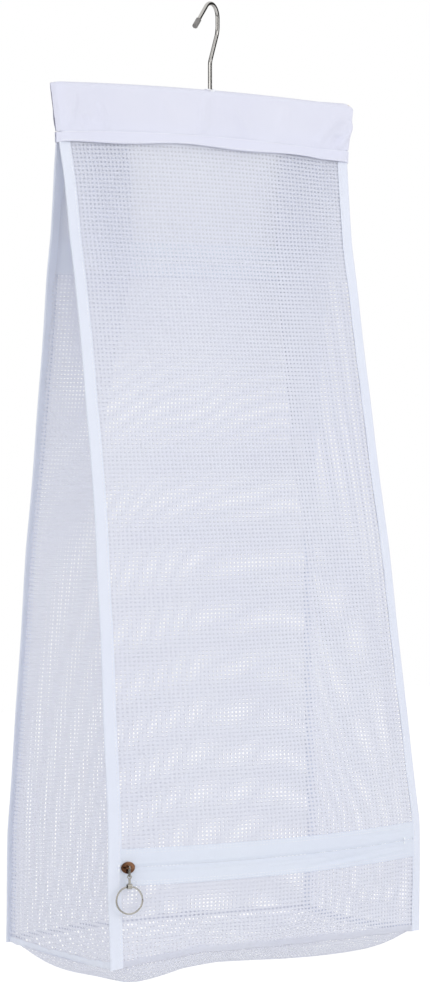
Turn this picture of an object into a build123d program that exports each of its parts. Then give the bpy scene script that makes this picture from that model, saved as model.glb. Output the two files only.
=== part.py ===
from build123d import *
import math
import os

# Hanging mesh laundry bag on a swivelling hook.
# Millimetres, +Z up, front faces -Y, +X to the right seen from the front.
# The origin is the inside of the hook's crook, where a rail carries the bag.

# ---- hook ----
wire_d = 4.2            # chromed hook wire
crook_r = 13.4          # centreline radius of the crook
crook_right_x = 15.2    # centreline of the crook's right side, from the shank
shoulder_z = -24.7      # where the right side starts to lean back to the shank
neck_z = -56.5          # where the leaning wire meets the straight shank
shoulder_r = 25.0
neck_r = 14.0
tip_leg = 63.0          # straight run from the crook's corner to the tip
hook_turn = 24.0        # hook plane swivelled from the bag's width, degrees
tip_sleeve_len = 9.5
tip_sleeve_d = 5.6
head_d = 7.4            # peened head under the bar
head_h = 2.4
washer_d = 9.6
washer_t = 1.2
swivel_gap = 0.06       # radial running clearance of the shank in its bush

# ---- hanger bar and its cloth sleeve ----
hang_drop = 87.6        # crook to the top of the sleeve
bar_h = 32.0
bar_t = 7.5
bar_gap = 0.25          # cloth to bar
bar_end_gap = 6.0       # each end of the bar inside the closed pocket
bush_wall = 0.45
bush_flange_d = 9.0
bush_flange_t = 0.8
sleeve_half_w = 183.0
sleeve_h = 48.4         # folded top edge to the pocket's stitch line
sleeve_t = 1.0
hem_h = 11.4            # doubled hem below the stitch line
hem_t = 1.6
eyelet_hole_d = 6.0     # stitched buttonhole round the shank
eyelet_d = 12.0
eyelet_t = 0.9

# ---- cloth ----
mesh_t = 0.8
cloth_t = 0.9
seam_gap = 0.2          # between pieces sewn edge to edge
binding_w = 13.0        # binding tape folded over each corner seam
binding_t = 2.0
hem_gap = 0.3           # behind a binding, where the gusset is caught
bottom_binding_h = 8.0
belly_sag = 14.0        # middle of the bottom below its corners

# ---- zips ----
tape_w = 17.0           # each tape's visible width
zip_slot = 1.6          # between the two tape edges
coil_w = 2.2
coil_t = 1.6
coil_gap = 0.05
stop_len = 2.6
stop_w = 2.2
stop_t = 1.0
zip_band_h = 2 * tape_w + zip_slot

# ---- sliders and their pulls ----
slider_len = 13.6
slider_w = 11.4
plate_t = 1.6
inner_plate_t = 1.2
slider_gap = 0.4
web_t = 0.8
web_len = 6.0
bail_r = 0.8
bail_lift = 3.3         # bail bar's centre above the slider's face
bail_len = 8.0
jump_wire_r = 0.6
jump_r = 1.9            # centreline radius of the jump ring's rounded ends
jump_run = 6.0
hang_gap = 0.3          # seat of one hanging piece on the next
eye_hole_r = 1.2
eye_r = 2.2
eye_t = 1.0
neck_len = 4.6
neck_w = 2.2
clamp_r = 2.7
clamp_bore_r = 1.9
clamp_len = 4.5
ring_wire_r = 1.05
ring_r = 12.95          # centreline radius of the split ring

front_end_margin = 12.8  # middle of a parked slider to the end of its tapes
rear_end_margin = 12.3

# ---- the bag's outline ----
waist_half_w = 173.5    # narrowest, level with the rear zip
middle_half_w = 179.0
hip_half_w = 192.0      # widest, level with the front zip
bottom_half_w = 190.0
top_half_d = bar_t / 2 + bar_gap + sleeve_t + 0.4   # front and back, just under the sleeve
hip_half_d = 87.5
bottom_half_d = 91.0
bag_depth = 843.0       # sleeve's top edge to the bottom corners
rear_zip_depth = 166.5
front_zip_rise = 92.0   # front zip above the bottom corners
front_bulge = 28.0
back_bulge = 14.0

sleeve_total = sleeve_h + hem_h
front_zip_depth = bag_depth - front_zip_rise
rear_top = rear_zip_depth - zip_band_h / 2
rear_low = rear_zip_depth + zip_band_h / 2
front_top = front_zip_depth - zip_band_h / 2
front_low = front_zip_depth + zip_band_h / 2


def between_zips(share):
    return rear_low + share * (front_top - rear_low)


# depth, half width, half depth, front bulge, back bulge, left pleat, right pleat
PROFILE = [
    (sleeve_total, sleeve_half_w - 1, top_half_d, 0.0, 0.0, 85.0, 85.0),
    (rear_top, waist_half_w, 17.6, 3.0, 0.0, 84.0, 84.0),
    (rear_low, waist_half_w, 24.8, 5.0, 0.0, 82.0, 83.0),
    (between_zips(0.30), waist_half_w + 1.5, 48.8, 12.0, 6.0, 45.0, 70.0),
    (between_zips(0.48), middle_half_w, 62.0, 17.0, 9.0, 22.0, 56.0),
    (between_zips(0.76), middle_half_w + 6, 76.0, 23.0, 12.0, 9.0, 36.0),
    (front_top, hip_half_w, hip_half_d, front_bulge, back_bulge, 8.0, 16.0),
    (front_low, hip_half_w, hip_half_d, front_bulge, back_bulge, 8.0, 13.0),
    (bag_depth, bottom_half_w, bottom_half_d, 22.0, back_bulge, 7.0, 8.0),
    (bag_depth + 2 * belly_sag, bottom_half_w - 1, bottom_half_d, 21.0, back_bulge, 7.0, 8.0),
]
FRONT, BACK = -1, 1


def save(shape, name):
    export_step(shape, f"parts/{name}.step")


def level(depth):
    """Height of a depth measured down from the sleeve's top edge."""
    return -hang_drop - depth


def outline(depth):
    """Outline values at any depth, straight between the listed ones."""
    for upper, lower in zip(PROFILE, PROFILE[1:]):
        if upper[0] <= depth <= lower[0]:
            share = (depth - upper[0]) / (lower[0] - upper[0])
            return [a + (b - a) * share for a, b in zip(upper, lower)]
    raise ValueError(f"no outline at depth {depth}")


def depths_between(start, end):
    """The listed depths inside a span, with the span's own ends."""
    inner = [row[0] for row in PROFILE if start + 0.01 < row[0] < end - 0.01]
    return [start] + inner + [end]


def arc_slope(half_chord, sag):
    """Slope of an arc of this half chord and sagitta at its ends."""
    if sag < 0.01:
        return 0.0
    radius = (half_chord ** 2 + sag ** 2) / (2 * sag)
    return half_chord / (radius - sag)


def panel_edge(depth, side):
    """Half chord, end y and sagitta of a front or back panel's outer face."""
    row = outline(depth)
    sag = row[3] if side == FRONT else row[4]
    half_chord = row[1] - binding_w - seam_gap
    end_y = row[2] + arc_slope(half_chord, sag) * (binding_w + seam_gap)
    return half_chord, end_y, sag


def bowed_edge(half_chord, end_y, sag, z):
    """A straight or arched edge across the bag at one height."""
    start = Vector(-half_chord, end_y, z)
    end = Vector(half_chord, end_y, z)
    if abs(sag) < 0.01:
        return Edge.make_line(start, end)
    return Edge.make_three_point_arc(start, Vector(0, end_y + sag, z), end)


def panel_section(depth, side, thickness, proud=0.0):
    """Closed section of a front or back panel at one depth."""
    half_chord, end_y, sag = panel_edge(depth, side)
    z = level(depth)
    outer_y = side * (end_y + proud)
    inner_y = outer_y - side * thickness
    outer = bowed_edge(half_chord, outer_y, side * sag, z)
    inner = bowed_edge(half_chord, inner_y, side * sag, z)
    left = Edge.make_line(outer @ 0, inner @ 0)
    right = Edge.make_line(outer @ 1, inner @ 1)
    return Wire([outer, right, inner, left])


def panel(start, end, side, thickness, proud=0.0):
    """A front or back panel between two depths."""
    sections = [panel_section(d, side, thickness, proud) for d in depths_between(start, end)]
    return Solid.make_loft(sections, ruled=True)


def binding_section(depth, side, hand):
    """Section of a corner's binding tape, lying along its panel's edge."""
    row = outline(depth)
    half_chord, _, sag = panel_edge(depth, side)
    rise = arc_slope(half_chord, sag) * binding_w
    z = level(depth)
    outer_x, inner_x = hand * row[1], hand * (row[1] - binding_w)
    outer_y, inner_y = side * row[2], side * (row[2] + rise)
    inward = -side * binding_t
    corners = [
        (outer_x, outer_y, z),
        (inner_x, inner_y, z),
        (inner_x, inner_y + inward, z),
        (outer_x, outer_y + inward, z),
    ]
    return Wire.make_polygon(corners)


def corner_binding(side, hand):
    sections = [binding_section(d, side, hand) for d in depths_between(*side_span)]
    return Solid.make_loft(sections, ruled=True) & inside_belly(0.0)


def gusset_edge(depth, side):
    """Where a gusset's edge is caught behind its binding, from the middle."""
    row = outline(depth)
    half_chord, _, sag = panel_edge(depth, side)
    rise = arc_slope(half_chord, sag) * binding_w / 2
    return row[2] + rise - binding_t - hem_gap


def gusset_section(depth, hand, thickness):
    """Section of a side gusset, pleated inwards to its crease."""
    row = outline(depth)
    pleat = row[5] if hand < 0 else row[6]
    edge_x = row[1] - binding_w / 2
    crease_x = row[1] - pleat
    front_y, back_y = gusset_edge(depth, FRONT), gusset_edge(depth, BACK)
    run = edge_x - crease_x
    half = (front_y + back_y) / 2
    angle = math.atan2(half, run)
    over_x, over_y = thickness * math.sin(angle), thickness * math.cos(angle)
    z = level(depth)
    corners = [
        (hand * edge_x, -front_y, z),
        (hand * crease_x, 0, z),
        (hand * edge_x, back_y, z),
        (hand * (edge_x + over_x), back_y - over_y, z),
        (hand * (crease_x + thickness / math.sin(angle)), 0, z),
        (hand * (edge_x + over_x), -front_y + over_y, z),
    ]
    return Wire.make_polygon(corners)


def gusset(start, end, hand, thickness):
    sections = [gusset_section(d, hand, thickness) for d in depths_between(start, end)]
    return Solid.make_loft(sections, ruled=True)


def belly_centre_z():
    return level(bag_depth) - belly_sag + belly_r


def belly_ball(grow):
    return Pos(0, 0, belly_centre_z()) * Sphere(belly_r + grow)


def inside_belly(grow):
    """The space above the sagging bottom surface, near the bag."""
    return belly_ball(grow) & Pos(0, 0, level(bag_depth) + 500) * Box(600, 400, 1200)


def belly_skin(inner, outer):
    """A thin shell that follows the sagging bottom."""
    block = Pos(0, 0, level(bag_depth)) * Box(600, 400, 80)
    return (block & belly_ball(outer)) - belly_ball(inner)


corner_row = outline(bag_depth)
belly_reach = math.hypot(corner_row[1], corner_row[2])
belly_r = (belly_reach ** 2 + belly_sag ** 2) / (2 * belly_sag)
side_span = (sleeve_total + seam_gap, bag_depth + 1.9 * belly_sag)


def hook_path():
    """Hook centreline, from the tip over the crook and down the shank."""
    leg_z = shoulder_top_z()
    corner = (crook_right_x, leg_z)
    tip = (crook_right_x - tip_leg * math.sqrt(0.5), leg_z - tip_leg * math.sqrt(0.5))
    points = [tip, corner, (crook_right_x, shoulder_z), (0, neck_z), (0, shank_end_z)]
    places = [Vector(x, 0, z) for x, z in points]
    return FilletPolyline(*places, radius=[crook_r, shoulder_r, neck_r])


def shoulder_top_z():
    """Sharp corner of the crook, so that its arc tops out one wire radius up."""
    top_z = wire_d / 2
    return top_z - crook_r + crook_r * math.tan(math.radians(67.5))


def make_hook(path):
    plane = Plane(path @ 0, z_dir=path % 0)
    wire = sweep(plane * Circle(wire_d / 2), path=path)
    head = Pos(0, 0, shank_end_z + head_h / 2) * Cylinder(head_d / 2, head_h)
    head = chamfer(head.edges(), 0.5)
    return Rot(0, 0, hook_turn) * (wire + head)


def make_tip_sleeve(path):
    """Soft tube pushed on the hook's tip, closed at its end."""
    fit_gap = 0.02
    end_wall = 1.4
    total = tip_sleeve_len + end_wall
    tube = Pos(0, 0, total / 2 - end_wall - fit_gap) * Cylinder(tip_sleeve_d / 2, total)
    tube = fillet(tube.edges().group_by(Axis.Z)[0], 1.0)
    bore_r = wire_d / 2 + fit_gap
    tube -= Pos(0, 0, tip_sleeve_len / 2) * Cylinder(bore_r, tip_sleeve_len + 2 * fit_gap)
    plane = Plane(path @ 0, z_dir=path % 0)
    return Rot(0, 0, hook_turn) * plane.location * tube


bar_top_z = level(sleeve_t + bar_gap)
bar_len = 2 * (sleeve_half_w - sleeve_t - bar_end_gap)
bar_bottom_z = bar_top_z - bar_h
bush_r = wire_d / 2 + swivel_gap + bush_wall
washer_z = bar_bottom_z - bush_flange_t - swivel_gap
shank_end_z = washer_z - washer_t - swivel_gap - head_h


def make_bar():
    bar = Pos(0, 0, bar_top_z - bar_h / 2) * Box(bar_len, bar_t, bar_h)
    bar = fillet(bar.edges().filter_by(Axis.X), bar_t * 0.4)
    bar = chamfer(bar.edges().filter_by(Axis.Y), 1.0)
    return bar - Pos(0, 0, bar_top_z - bar_h / 2) * Cylinder(bush_r, bar_h + 2)


def make_bush():
    tube = Pos(0, 0, bar_top_z - bar_h / 2) * Cylinder(bush_r, bar_h)
    flange_z = bar_bottom_z - bush_flange_t / 2
    flange = Pos(0, 0, flange_z) * Cylinder(min(bush_flange_d, bar_t) / 2, bush_flange_t)
    bore = Cylinder(wire_d / 2 + swivel_gap, 3 * bar_h)
    return tube + flange - Pos(0, 0, bar_top_z - bar_h / 2) * bore


def make_washer():
    ring = Cylinder(min(washer_d, bar_t) / 2, washer_t)
    ring -= Cylinder(wire_d / 2 + swivel_gap, washer_t + 1)
    return Pos(0, 0, washer_z - washer_t / 2) * ring


sleeve_half_t = bar_t / 2 + bar_gap + sleeve_t


def make_sleeve():
    """Pocket of solid cloth folded over the bar, closed at both ends."""
    middle_z = level(sleeve_h / 2)
    pocket = Pos(0, 0, middle_z) * Box(2 * sleeve_half_w, 2 * sleeve_half_t, sleeve_h)
    top_edges = pocket.edges().filter_by(Axis.X).group_by(Axis.Z)[-1]
    pocket = fillet(top_edges, sleeve_half_t * 0.6)
    hollow_h = sleeve_h - sleeve_t
    hollow = Box(2 * (sleeve_half_w - sleeve_t), 2 * (sleeve_half_t - sleeve_t), hollow_h)
    hollow = Pos(0, 0, level(sleeve_h) + hollow_h / 2) * hollow
    hollow = fillet(hollow.edges().filter_by(Axis.X).group_by(Axis.Z)[-1], bar_t * 0.38)
    hole = Pos(0, 0, level(0)) * Cylinder(eyelet_hole_d / 2, 4 * sleeve_t)
    return pocket - hollow - hole


def make_eyelet():
    ring = Cylinder(min(eyelet_d, 2 * sleeve_half_t * 0.72) / 2, eyelet_t)
    ring -= Cylinder(eyelet_hole_d / 2, eyelet_t + 1)
    ring = chamfer(ring.edges().group_by(Axis.Z)[-1], 0.25)
    return Pos(0, 0, level(0) + eyelet_t / 2 + 0.05) * ring


def make_hem(side):
    y = side * (sleeve_half_t + 0.2 - hem_t / 2)
    z = level(sleeve_h + hem_h / 2 + seam_gap / 2)
    return Pos(0, y, z) * Box(2 * sleeve_half_w, hem_t, hem_h - seam_gap)


def make_bottom_panel():
    """Sagging mesh bottom, cut to the bag's plan outline."""
    front = panel_edge(bag_depth, FRONT)
    back = panel_edge(bag_depth, BACK)
    z = level(bag_depth) - 40
    edge_front = bowed_edge(front[0], -front[1], -front[2], z)
    edge_back = bowed_edge(back[0], back[1], back[2], z)
    side_x = corner_row[1] - binding_w / 2
    left = Wire.make_polygon([edge_front @ 0, (-side_x, 0, z), edge_back @ 0], close=False)
    right = Wire.make_polygon([edge_front @ 1, (side_x, 0, z), edge_back @ 1], close=False)
    plan = Face(Wire([edge_front] + right.edges() + [edge_back] + left.edges()))
    block = extrude(plan, 80, dir=(0, 0, 1))
    return block & belly_skin(seam_gap, seam_gap + mesh_t)


def make_bottom_binding_across(side):
    """Narrow tape over the seam of the bottom with the front or the back."""
    proud = (binding_t - mesh_t) / 2
    start = bag_depth - bottom_binding_h - belly_sag
    band = panel(start, side_span[1], side, binding_t, proud)
    return band & belly_skin(-bottom_binding_h, 0.0)


def make_bottom_binding_side(hand):
    """Narrow tape over the seam of the bottom with a gusset."""
    front_y = gusset_edge(bag_depth, FRONT)
    back_y = gusset_edge(bag_depth, BACK)
    side_x = hand * (corner_row[1] - binding_w / 2 + mesh_t / 2)
    length = front_y + back_y - 4 * seam_gap
    block = Box(binding_t, length, 60)
    block = Pos(side_x, (back_y - front_y) / 2, level(bag_depth)) * block
    return block & belly_skin(-bottom_binding_h, 0.0)


# ---- front zip: follows an arc in plan, about one upright axis ----
front_chord, front_end_y, front_sag = panel_edge(front_zip_depth, FRONT)
front_r = (front_chord ** 2 + front_sag ** 2) / (2 * front_sag)
front_axis_y = front_r - front_end_y - front_sag
front_z = level(front_zip_depth)
front_rest_x = -(front_chord - front_end_margin)
front_half_angle = math.degrees(math.asin((front_chord - seam_gap) / front_r))


def front_strip(outer_r, thickness, z_low, height, start, end):
    """Upright band on the front's arc, between two angles from its middle."""
    profile = Plane.XZ * Pos(outer_r - thickness / 2, z_low + height / 2) * Rectangle(thickness, height)
    band = revolve(profile, Axis.Z, revolution_arc=end - start)
    return Pos(0, front_axis_y, front_z) * Rot(0, 0, start - 90) * band


def front_place(x):
    """Frame on the front's arc: x along the tapes, -y outwards."""
    angle = math.degrees(math.asin(x / front_r))
    return Pos(0, front_axis_y, front_z) * Rot(0, 0, angle) * Pos(0, -front_r, 0)


def rear_place(x):
    """Frame on the rear zip's leaning plane: -y is outwards."""
    upper, lower = outline(rear_top), outline(rear_low)
    lean = math.degrees(math.atan2(lower[2] - upper[2], zip_band_h))
    middle_y = (upper[2] + lower[2]) / 2
    return Pos(x, middle_y, level(rear_zip_depth)) * Rot(lean, 0, 0) * Rot(0, 0, 180)


def front_tapes():
    upper = front_strip(front_r, cloth_t, zip_slot / 2, tape_w - seam_gap, -front_half_angle, front_half_angle)
    lower = front_strip(
        front_r, cloth_t, -zip_slot / 2 - tape_w + seam_gap, tape_w - seam_gap,
        -front_half_angle, front_half_angle,
    )
    return upper, lower


def front_coil():
    outer = front_r - cloth_t - coil_gap
    end = front_half_angle - 0.2
    upper = front_strip(outer, coil_t, zip_slot / 2, coil_w, -end, end)
    lower = front_strip(outer, coil_t, -zip_slot / 2 - coil_w, coil_w, -end, end)
    return Compound([upper, lower])


def rear_strip(y_outer, thickness, z_low, height, half_len):
    box = Box(2 * half_len, thickness, height)
    return rear_place(0) * Pos(0, -y_outer + thickness / 2, z_low + height / 2) * box


rear_half_len = outline(rear_zip_depth)[1] - binding_w - seam_gap
rear_rest_x = rear_half_len - rear_end_margin


def rear_tapes():
    upper = rear_strip(0, cloth_t, zip_slot / 2, tape_w - seam_gap, rear_half_len)
    lower = rear_strip(0, cloth_t, -zip_slot / 2 - tape_w + seam_gap, tape_w - seam_gap, rear_half_len)
    return upper, lower


def rear_coil():
    outer = -cloth_t - coil_gap
    upper = rear_strip(outer, coil_t, zip_slot / 2, coil_w, rear_half_len - 1)
    lower = rear_strip(outer, coil_t, -zip_slot / 2 - coil_w, coil_w, rear_half_len - 1)
    return Compound([upper, lower])


def zip_stops(place, rest_x, far_x):
    """Four small end stops, on both tapes just past the slider's two ends."""
    reach = slider_len / 2 + 0.6 + stop_len / 2
    outward = math.copysign(reach, rest_x)
    stops = []
    for x in (rest_x + outward, far_x - outward):
        for rise in (1, -1):
            stop = Box(stop_len, stop_t, stop_w)
            stop = chamfer(stop.edges().filter_by(Axis.Z), 0.25)
            at = Pos(0, -stop_t / 2 - coil_gap, rise * (zip_slot / 2 + stop_w / 2 + 0.2))
            stops.append(place(x) * at * stop)
    return Compound(stops)


def oval_plate(length, width, thickness):
    plate = extrude(Plane.XZ * Ellipse(length / 2, width / 2), thickness / 2, both=True)
    return fillet(plate.edges(), thickness * 0.3)


bail_y = -(slider_gap + plate_t + bail_lift)


def make_slider():
    """Slider in its own frame: x along the tapes, -y outwards."""
    outer = Pos(0, -slider_gap - plate_t / 2, 0) * oval_plate(slider_len, slider_w, plate_t)
    inner_y = cloth_t + coil_gap + coil_t + slider_gap + inner_plate_t / 2
    inner = Pos(0, inner_y, 0) * oval_plate(slider_len - 1.6, slider_w - 1.4, inner_plate_t)
    web = Pos(0, (inner_y - slider_gap) / 2, 0) * Box(web_len, inner_y + slider_gap, web_t)
    bail = Pos(0, bail_y, 0) * Rot(0, 90, 0) * Cylinder(bail_r, bail_len)
    posts = []
    for end in (-1, 1):
        post_h = bail_lift + plate_t / 2
        post = Cylinder(bail_r, post_h)
        post = Pos(end * (bail_len / 2 - bail_r), bail_y + post_h / 2, 0) * Rot(90, 0, 0) * post
        posts.append(post)
    return outer + inner + web + bail + posts[0] + posts[1]


jump_top_z = -hang_gap / 2
jump_low_z = jump_top_z - jump_run - jump_r
eye_z = jump_low_z - hang_gap
clamp_z = eye_z - eye_r - neck_len - clamp_r + 0.6
ring_z = clamp_z - hang_gap - ring_r


def make_jump_ring():
    """Oval ring through the slider's bail, lying in the local y-z plane."""
    path = Wire([
        Edge.make_line((0, jump_r, jump_top_z), (0, jump_r, jump_top_z - jump_run)),
        Edge.make_three_point_arc(
            (0, jump_r, jump_top_z - jump_run), (0, 0, jump_low_z), (0, -jump_r, jump_top_z - jump_run)
        ),
        Edge.make_line((0, -jump_r, jump_top_z - jump_run), (0, -jump_r, jump_top_z)),
        Edge.make_three_point_arc((0, -jump_r, jump_top_z), (0, 0, jump_top_z + jump_r), (0, jump_r, jump_top_z)),
    ])
    profile = Plane((0, jump_r, jump_top_z), z_dir=(0, 0, -1)) * Circle(jump_wire_r)
    return Pos(0, bail_y, 0) * sweep(profile, path=path)


def make_pull_link():
    """Flat eye on the jump ring, a short neck, and a clamp for the split ring."""
    eye = Pos(0, 0, eye_z) * Rot(90, 0, 0) * Cylinder(eye_r, eye_t)
    neck_top = eye_z - eye_r + 0.4
    neck_low = clamp_z + clamp_r - 0.4
    neck = Pos(0, 0, (neck_top + neck_low) / 2) * Box(neck_w, eye_t, neck_top - neck_low)
    clamp = Pos(0, 0, clamp_z) * Rot(0, 90, 0) * Cylinder(clamp_r, clamp_len)
    body = eye + neck + clamp
    body -= Pos(0, 0, eye_z) * Rot(90, 0, 0) * Cylinder(eye_hole_r, 4 * eye_t)
    body -= Pos(0, 0, clamp_z) * Rot(0, 90, 0) * Cylinder(clamp_bore_r, clamp_len + 2)
    return Pos(0, bail_y, 0) * body


def make_pull_ring():
    return Pos(0, bail_y, ring_z) * Rot(90, 0, 0) * Torus(ring_r, ring_wire_r)


def save_pull(prefix, place):
    save(place * make_slider(), f"{prefix}_slider")
    save(place * make_jump_ring(), f"{prefix}_jump_ring")
    save(place * make_pull_link(), f"{prefix}_pull_link")
    save(place * make_pull_ring(), f"{prefix}_pull_ring")


def save_hook():
    path = hook_path()
    save(make_hook(path), "hook")
    save(make_tip_sleeve(path), "hook_tip_sleeve")
    save(make_washer(), "hook_washer")


def save_sleeve():
    save(make_bar(), "hanger_bar")
    save(make_bush(), "bar_bush")
    save(make_sleeve(), "sleeve")
    save(make_eyelet(), "hook_eyelet")
    save(make_hem(FRONT), "sleeve_hem_front")
    save(make_hem(BACK), "sleeve_hem_back")


def save_panels():
    top = sleeve_total + seam_gap
    low = bag_depth + 1.9 * belly_sag
    above_binding = -bottom_binding_h - seam_gap
    save(panel(top, front_top, FRONT, mesh_t), "front_panel_upper")
    save(panel(front_low, low, FRONT, mesh_t) & inside_belly(above_binding), "front_panel_lower")
    save(panel(top, rear_top, BACK, cloth_t), "back_panel_upper")
    save(panel(rear_low, low, BACK, mesh_t) & inside_belly(above_binding), "back_panel_lower")
    for hand, word in ((-1, "left"), (1, "right")):
        save(gusset(top, rear_top - seam_gap, hand, cloth_t), f"gusset_{word}_top")
        save(gusset(rear_top, rear_low, hand, cloth_t), f"gusset_{word}_band")
        mesh = gusset(rear_low + seam_gap, low, hand, mesh_t) & inside_belly(above_binding)
        save(mesh, f"gusset_{word}_mesh")
        save(make_bottom_binding_side(hand), f"bottom_binding_{word}")
        save(corner_binding(FRONT, hand), f"binding_front_{word}")
        save(corner_binding(BACK, hand), f"binding_back_{word}")
    save(make_bottom_panel(), "bottom_panel")
    save(make_bottom_binding_across(FRONT), "bottom_binding_front")
    save(make_bottom_binding_across(BACK), "bottom_binding_back")


def save_zips():
    upper, lower = front_tapes()
    save(upper, "front_zip_tape_upper")
    save(lower, "front_zip_tape_lower")
    save(front_coil(), "front_zip_coil")
    save(zip_stops(front_place, front_rest_x, -front_rest_x), "front_zip_stops")
    upper, lower = rear_tapes()
    save(upper, "rear_zip_tape_upper")
    save(lower, "rear_zip_tape_lower")
    save(rear_coil(), "rear_zip_coil")
    save(zip_stops(rear_place, rear_rest_x, -rear_rest_x), "rear_zip_stops")


def report_axes():
    """Joint places for whoever writes the record, in millimetres and degrees."""
    print("front zip axis y", round(front_axis_y, 3), "radius", round(front_r, 3))
    travel = 2 * math.degrees(math.asin(-front_rest_x / front_r))
    print("front zip travel, degrees", round(travel, 3))
    for prefix, place in (("front", front_place(front_rest_x)), ("rear", rear_place(rear_rest_x))):
        for what, z in (("bail", 0), ("eye", jump_low_z), ("clamp", clamp_z), ("ring", ring_z)):
            spot = (place * Pos(0, bail_y, z)).position
            print(prefix, what, [round(v, 3) for v in spot])
        turned = place.orientation
        print(prefix, "orientation", [round(v, 3) for v in turned])


os.makedirs("parts", exist_ok=True)
save_hook()
save_sleeve()
save_panels()
save_zips()
save_pull("front", front_place(front_rest_x))
save_pull("rear", rear_place(rear_rest_x))
report_axes()
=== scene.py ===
import math

import bmesh
import bpy
import numpy as np
from mathutils import Euler, Matrix, Vector


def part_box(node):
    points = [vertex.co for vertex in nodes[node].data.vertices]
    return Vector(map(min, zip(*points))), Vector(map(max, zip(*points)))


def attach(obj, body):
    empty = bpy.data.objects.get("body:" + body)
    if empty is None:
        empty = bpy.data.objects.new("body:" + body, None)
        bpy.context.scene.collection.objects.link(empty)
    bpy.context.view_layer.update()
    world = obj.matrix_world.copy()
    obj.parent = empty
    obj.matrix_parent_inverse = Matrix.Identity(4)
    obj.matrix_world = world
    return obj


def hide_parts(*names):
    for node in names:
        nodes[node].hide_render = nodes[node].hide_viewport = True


# White mesh laundry bag hanging from a swivelling chrome hook.
# Cloth is cut flat in millimetres, then moved to the shape it hangs in.

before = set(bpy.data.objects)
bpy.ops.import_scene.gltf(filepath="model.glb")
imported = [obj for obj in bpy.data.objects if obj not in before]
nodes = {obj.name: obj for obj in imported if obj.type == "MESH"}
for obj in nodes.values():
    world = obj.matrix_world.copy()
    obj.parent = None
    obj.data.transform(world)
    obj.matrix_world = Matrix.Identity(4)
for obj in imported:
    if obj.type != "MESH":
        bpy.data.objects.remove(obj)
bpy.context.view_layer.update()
MM = 0.001
FRONT, BACK = -1, 1
LEFT, RIGHT = -1, 1

# ---------------------------------------------------------------- the bag's outline
SLEEVE_TOP = -87.6
SEAM_W = 13.2           # corner binding and its seam, inside the corner
MESH_CELL = (4.5, 4.0)
STRAND = 2.3
STITCH_LINE = 48.4      # all depths are below the sleeve's top edge
HEM_END = 59.8
REAR_ZIP = 166.5
FRONT_ZIP = 751.0
CORNER = 843.0
BAND = 17.8             # half the height of a zip's two tapes together
LIP_GAP = 0.15          # half the space between the tapes' rolled lips

# depth, face half width, half depth, front bulge, back bulge, left pleat, right pleat,
# cloth half width, lean to the right
OUTLINE = np.array([
    (40.0, 182.0, 2.6, 0.0, 0.0, 85.0, 85.0, 177.4, -5.0),
    (59.8, 182.0, 3.4, 0.0, 0.0, 85.0, 85.0, 177.0, -5.0),
    (85.0, 179.6, 8.8, 0.9, 0.0, 85.0, 85.0, 175.4, -5.6),
    (148.7, 173.5, 17.6, 3.0, 0.0, 84.0, 84.0, 173.3, -5.8),
    (184.3, 173.5, 24.8, 5.0, 0.0, 82.0, 83.0, 172.8, -5.6),
    (349.0, 175.0, 48.8, 12.0, 6.0, 45.0, 70.0, 175.0, -2.0),
    (447.8, 179.0, 62.0, 17.0, 9.0, 22.0, 56.0, 179.0, 0.5),
    (601.5, 185.0, 76.0, 23.0, 12.0, 9.0, 36.0, 186.0, 5.0),
    (733.2, 192.0, 87.5, 28.0, 14.0, 8.0, 16.0, 193.5, 9.5),
    (768.8, 192.0, 87.5, 28.0, 14.0, 8.0, 13.0, 194.0, 9.5),
    (843.0, 190.0, 91.0, 22.0, 14.0, 7.0, 8.0, 191.5, 7.5),
    (890.0, 189.0, 91.0, 21.0, 14.0, 7.0, 8.0, 190.5, 7.5),
])
LEVELS = np.arange(40.0, 890.0, 1.0)


def softened(column):
    """One column of the outline at every millimetre, with its kinks rounded."""
    values = np.interp(LEVELS, OUTLINE[:, 0], OUTLINE[:, column])
    window = np.hanning(29)
    padded = np.pad(values, 14, mode="edge")
    return np.convolve(padded, window / window.sum(), mode="valid")


(FACE_HALF_W, HALF_D, FRONT_BULGE, BACK_BULGE, LEFT_PLEAT, RIGHT_PLEAT,
 CLOTH_HALF_W, LEAN) = [softened(c) for c in range(1, 9)]


def at(values, depth):
    return np.interp(depth, LEVELS, values)


def crease(x, y, start, end, width, height):
    """A soft ridge along a straight stroke on the cloth, fading at both ends."""
    run = np.array(end, float) - np.array(start, float)
    share = ((x - start[0]) * run[0] + (y - start[1]) * run[1]) / (run @ run)
    share = np.clip(share, 0.0, 1.0)
    away = (x - start[0] - share * run[0]) ** 2 + (y - start[1] - share * run[1]) ** 2
    return height * np.exp(-away / width ** 2) * np.sqrt(np.sin(np.pi * share).clip(0.0))


def bag_lift(x, depth):
    """The top of the bag is drawn up a little in the middle, by the bar inside it."""
    arch = np.clip(1.0 - ((x + 30.0) / 165.0) ** 2, 0.0, 1.0)
    return 6.2 * arch * np.interp(depth, [0, 30, 60, 142], [0.55, 0.9, 0.95, 0.0])


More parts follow.
